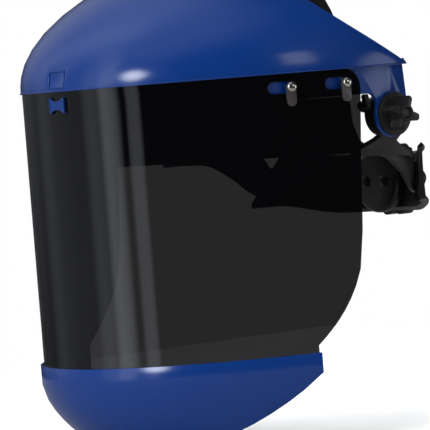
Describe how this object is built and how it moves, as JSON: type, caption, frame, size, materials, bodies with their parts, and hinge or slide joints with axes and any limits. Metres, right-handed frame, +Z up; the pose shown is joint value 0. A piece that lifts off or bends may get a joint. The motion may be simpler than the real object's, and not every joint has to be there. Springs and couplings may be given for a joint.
{
  "type": "face shield",
  "caption": "Protective face shield: smoke window with hard crown and chin guard, tilting on a ratchet headgear with tension knobs and turn-button window fastenings.",
  "frame": {"origin": "middle of the tilt axis, half way between the two side pivots, which is the middle of the head ring", "axes": "+X towards the wearer's left, -Y forwards through the window, +Z up with the window lowered and upright"},
  "size_m": [0.2322, 0.2598, 0.2856],
  "materials": {
    "headband": "satin black moulding",
    "brow_pad": "soft black sweatband",
    "side_arm": "satin black moulding",
    "overhead_strap": "satin black moulding",
    "strap_peg": "satin",
    "pivot_bolt": "plated steel",
    "pivot_washer": "fibre friction washer",
    "rear_cradle": "satin black moulding",
    "ratchet_cover": "satin black moulding",
    "cover_screw": "satin black moulded boss",
    "ratchet_dial": "satin black moulding",
    "ratchet_pinion": "moulded",
    "crown": "glossy blue moulding",
    "window": "dark smoke, see-through, glossy",
    "chin_guard": "glossy blue moulding",
    "rivet": "polished nickel dome",
    "toggle": "dark grey moulding",
    "tension_knob": "satin black moulding"
  },
  "bodies": {
    "headgear": {"headband": "headband", "brow_pad": "brow_pad", "side_arm_left": "side_arm", "side_arm_right": "side_arm", "overhead_strap_left": "overhead_strap", "overhead_strap_right": "overhead_strap", "strap_peg": "strap_peg", "pivot_bolt_left": "pivot_bolt", "pivot_bolt_right": "pivot_bolt", "pivot_washer_left": "pivot_washer", "pivot_washer_right": "pivot_washer"},
    "cradle": {"rear_cradle": "rear_cradle", "ratchet_cover": "ratchet_cover", "cover_screw_left": "cover_screw", "cover_screw_right": "cover_screw"},
    "dial": {"ratchet_dial": "ratchet_dial", "ratchet_pinion": "ratchet_pinion"},
    "shield": {"crown": "crown", "window": "window", "chin_guard": "chin_guard", "rivet_left_rear": "rivet", "rivet_left_front": "rivet", "rivet_right_rear": "rivet", "rivet_right_front": "rivet"},
    "knob_left": {"tension_knob_left": "tension_knob"},
    "knob_right": {"tension_knob_right": "tension_knob"},
    "toggle_left_rear": {"toggle_left_rear": "toggle"},
    "toggle_right_rear": {"toggle_right_rear": "toggle"},
    "toggle_left_front": {"toggle_left_front": "toggle"},
    "toggle_right_front": {"toggle_right_front": "toggle"}
  },
  "joints": [
    {"name": "shield_tilt", "type": "hinge", "parent": "headgear", "child": "shield", "pos_m": [0, 0, 0], "axis": [-1, 0, 0], "range_deg": [0, 95]},
    {"name": "knob_left_turn", "type": "hinge", "parent": "headgear", "child": "knob_left", "pos_m": [0.107, 0, 0], "axis": [1, 0, 0], "continuous": true},
    {"name": "knob_right_turn", "type": "hinge", "parent": "headgear", "child": "knob_right", "pos_m": [-0.107, 0, 0], "axis": [-1, 0, 0], "continuous": true},
    {"name": "cradle_slide", "type": "slide", "parent": "headgear", "child": "cradle", "axis": [0, 1, 0], "range_m": [0, 0.012]},
    {"name": "dial_turn", "type": "hinge", "parent": "cradle", "child": "dial", "pos_m": [0, 0.094, -0.041], "axis": [0, 1, 0], "range_deg": [0, 114.5]},
    {"name": "toggle_left_rear_turn", "type": "hinge", "parent": "shield", "child": "toggle_left_rear", "pos_m": [0.10855, -0.03739, 0.0198], "axis": [-0.9972, 0.075, 0], "range_deg": [0, 90]},
    {"name": "toggle_right_rear_turn", "type": "hinge", "parent": "shield", "child": "toggle_right_rear", "pos_m": [-0.10855, -0.03739, 0.0198], "axis": [-0.9972, -0.075, 0], "range_deg": [0, 90]},
    {"name": "toggle_left_front_turn", "type": "hinge", "parent": "shield", "child": "toggle_left_front", "pos_m": [0.10179, -0.07254, 0.0198], "axis": [-0.9531, 0.3025, 0], "range_deg": [0, 90]},
    {"name": "toggle_right_front_turn", "type": "hinge", "parent": "shield", "child": "toggle_right_front", "pos_m": [-0.10179, -0.07254, 0.0198], "axis": [-0.9531, -0.3025, 0], "range_deg": [0, 90]}
  ],
  "couplings": [
    {"joint": "cradle_slide", "follows": "dial_turn", "m_per_rad": 0.006}
  ]
}
